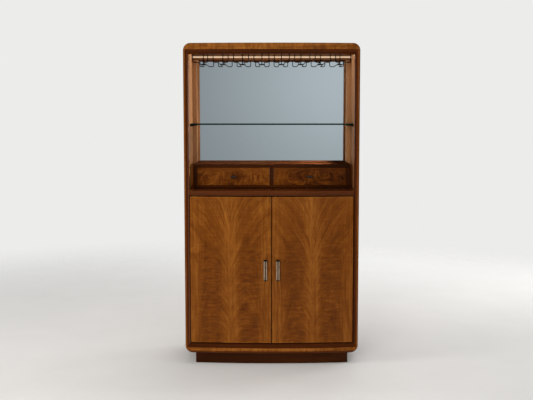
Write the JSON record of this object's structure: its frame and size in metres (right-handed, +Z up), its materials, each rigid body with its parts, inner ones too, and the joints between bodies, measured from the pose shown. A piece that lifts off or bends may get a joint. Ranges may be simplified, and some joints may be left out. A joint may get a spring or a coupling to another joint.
{
  "type": "bar armoire",
  "caption": "Tall bow-fronted drinks cabinet: lit open bay with mirror, glass shelf and stemware rack over a drawer unit and a cupboard with swinging doors.",
  "frame": {"origin": "on the floor under the middle of the whole piece's box, with the door pulls counted", "axes": "+Z up, +X to the viewer's right, the doors face -Y"},
  "size_m": [1.118, 0.5292, 2.063],
  "materials": {
    "case_veneer": "satin lacquered honey-brown veneer",
    "figured_veneer": "satin lacquered feather-figured veneer",
    "dark_wood": "satin lacquered dark reddish wood",
    "inside_wood": "plain sealed wood",
    "mirror_glass": "silvered glass",
    "shelf_glass": "clear glass with polished green edges",
    "light_diffuser": "opal diffuser, lit warm white",
    "dark_bronze": "dark bronze",
    "pewter": "satin pewter",
    "brass": "plain brass"
  },
  "bodies": {
    "case": {"top_panel": "case_veneer", "bottom_panel": "case_veneer", "side_panel_left": "case_veneer", "side_panel_right": "case_veneer", "light_rail": "case_veneer", "mirror_stile_left": "case_veneer", "mirror_stile_right": "case_veneer", "ledge": "dark_wood", "frame_rail_top": "dark_wood", "frame_rail_bottom": "dark_wood", "frame_stile_left": "dark_wood", "frame_stile_right": "dark_wood", "plinth_front": "dark_wood", "plinth_back": "dark_wood", "plinth_side_left": "dark_wood", "plinth_side_right": "dark_wood", "unit_top": "dark_wood", "unit_bottom": "dark_wood", "unit_divider": "dark_wood", "unit_side_left": "dark_wood", "unit_side_right": "dark_wood", "back_panel_lower": "inside_wood", "back_panel_upper": "inside_wood", "inner_shelf": "inside_wood", "stemware_wire_1": "dark_bronze", "stemware_wire_2": "dark_bronze", "stemware_wire_3": "dark_bronze", "stemware_wire_4": "dark_bronze", "stemware_wire_5": "dark_bronze", "stemware_wire_6": "dark_bronze", "stemware_wire_7": "dark_bronze", "stemware_wire_8": "dark_bronze", "shelf_pin_front_left": "dark_bronze", "shelf_pin_back_left": "dark_bronze", "shelf_pin_front_right": "dark_bronze", "shelf_pin_back_right": "dark_bronze", "door_catch": "dark_bronze", "hinge_case_leaf_top_left": "brass", "hinge_case_leaf_bottom_left": "brass", "hinge_case_leaf_top_right": "brass", "hinge_case_leaf_bottom_right": "brass", "mirror": "mirror_glass", "glass_shelf": "shelf_glass", "light_diffuser": "light_diffuser"},
    "door_left": {"door_left": "figured_veneer", "door_pull_left": "pewter", "hinge_door_leaf_top_left": "brass", "hinge_door_leaf_bottom_left": "brass"},
    "drawer_left": {"drawer_front_left": "figured_veneer", "drawer_box_left": "inside_wood", "drawer_bottom_left": "inside_wood", "drawer_knob_left": "dark_bronze"},
    "door_right": {"door_right": "figured_veneer", "door_pull_right": "pewter", "hinge_door_leaf_top_right": "brass", "hinge_door_leaf_bottom_right": "brass"},
    "drawer_right": {"drawer_front_right": "figured_veneer", "drawer_box_right": "inside_wood", "drawer_bottom_right": "inside_wood", "drawer_knob_right": "dark_bronze"}
  },
  "joints": [
    {"name": "door_left_swing", "type": "hinge", "parent": "case", "child": "door_left", "pos_m": [-0.511, -0.19959, 0.619], "axis": [0, 0, -1], "range_deg": [0, 105]},
    {"name": "door_right_swing", "type": "hinge", "parent": "case", "child": "door_right", "pos_m": [0.511, -0.19959, 0.619], "axis": [0, 0, 1], "range_deg": [0, 105]},
    {"name": "drawer_left_slide", "type": "slide", "parent": "case", "child": "drawer_left", "axis": [0, -1, 0], "range_m": [0, 0.14]},
    {"name": "drawer_right_slide", "type": "slide", "parent": "case", "child": "drawer_right", "axis": [0, -1, 0], "range_m": [0, 0.14]}
  ]
}
